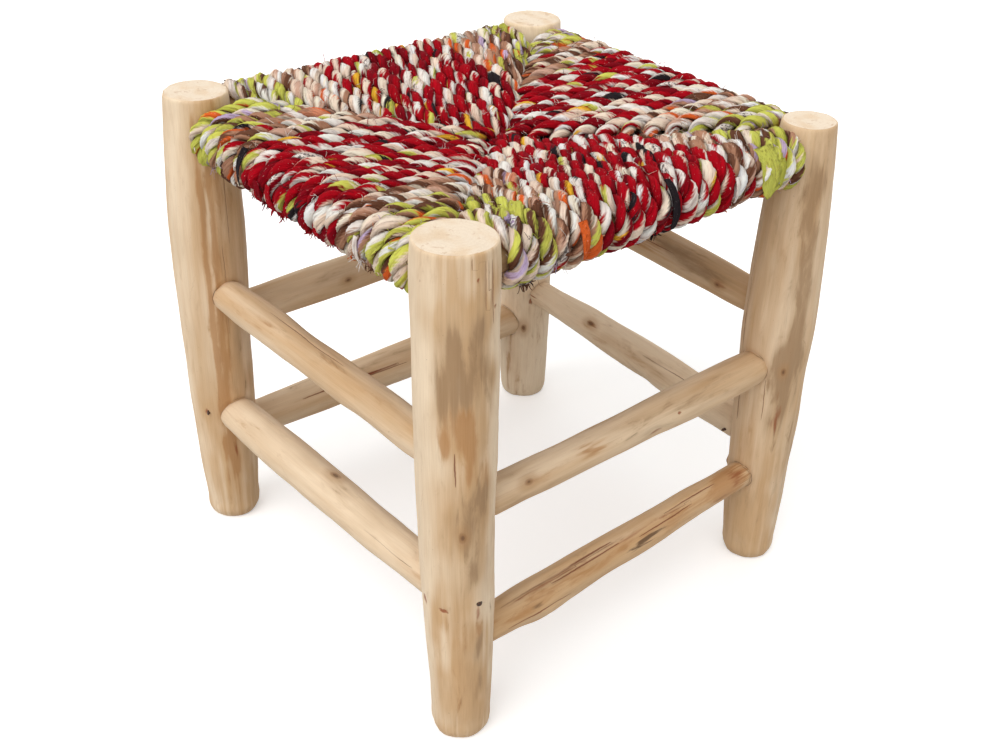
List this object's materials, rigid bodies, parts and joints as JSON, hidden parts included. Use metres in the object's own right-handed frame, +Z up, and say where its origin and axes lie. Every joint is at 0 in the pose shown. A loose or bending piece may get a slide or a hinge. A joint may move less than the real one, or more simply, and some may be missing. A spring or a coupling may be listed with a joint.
{
  "type": "stool",
  "caption": "Low square stool of peeled wooden poles, with round rungs between the legs and a seat woven of thick twisted rag cord over hidden rails.",
  "frame": {"origin": "on the floor, under the middle of the stool's bounding box", "axes": "+Z up, +X towards the right legs, +Y towards the back legs; the picture looks from the front right leg"},
  "size_m": [0.365, 0.3754, 0.3803],
  "materials": {
    "leg_wood": "peeled and lightly sanded, unvarnished",
    "rung_wood": "peeled, unvarnished",
    "rail_wood": "peeled, rough",
    "nail_steel": "dull, slightly rusted",
    "cord_outer": "twisted cotton rag in lime green, dark brown, lilac and white",
    "cord_middle": "twisted cotton rag in brown, taupe, orange and cream",
    "cord_inner": "twisted cotton rag in crimson, cream, black and golden yellow"
  },
  "bodies": {
    "root": {"leg_front_left": "leg_wood", "leg_front_right": "leg_wood", "leg_back_right": "leg_wood", "leg_back_left": "leg_wood", "rung_front_upper": "rung_wood", "rung_front_lower": "rung_wood", "rung_back_upper": "rung_wood", "rung_back_lower": "rung_wood", "rung_left_upper": "rung_wood", "rung_left_lower": "rung_wood", "rung_right_upper": "rung_wood", "rung_right_lower": "rung_wood", "seat_rail_front": "rail_wood", "seat_rail_back": "rail_wood", "seat_rail_left": "rail_wood", "seat_rail_right": "rail_wood", "nail_front_left": "nail_steel", "nail_front_right": "nail_steel", "nail_back_right": "nail_steel", "nail_back_left": "nail_steel", "seat_cord_outer": "cord_outer", "seat_cord_middle": "cord_middle", "seat_cord_inner": "cord_inner"}
  },
  "joints": []
}
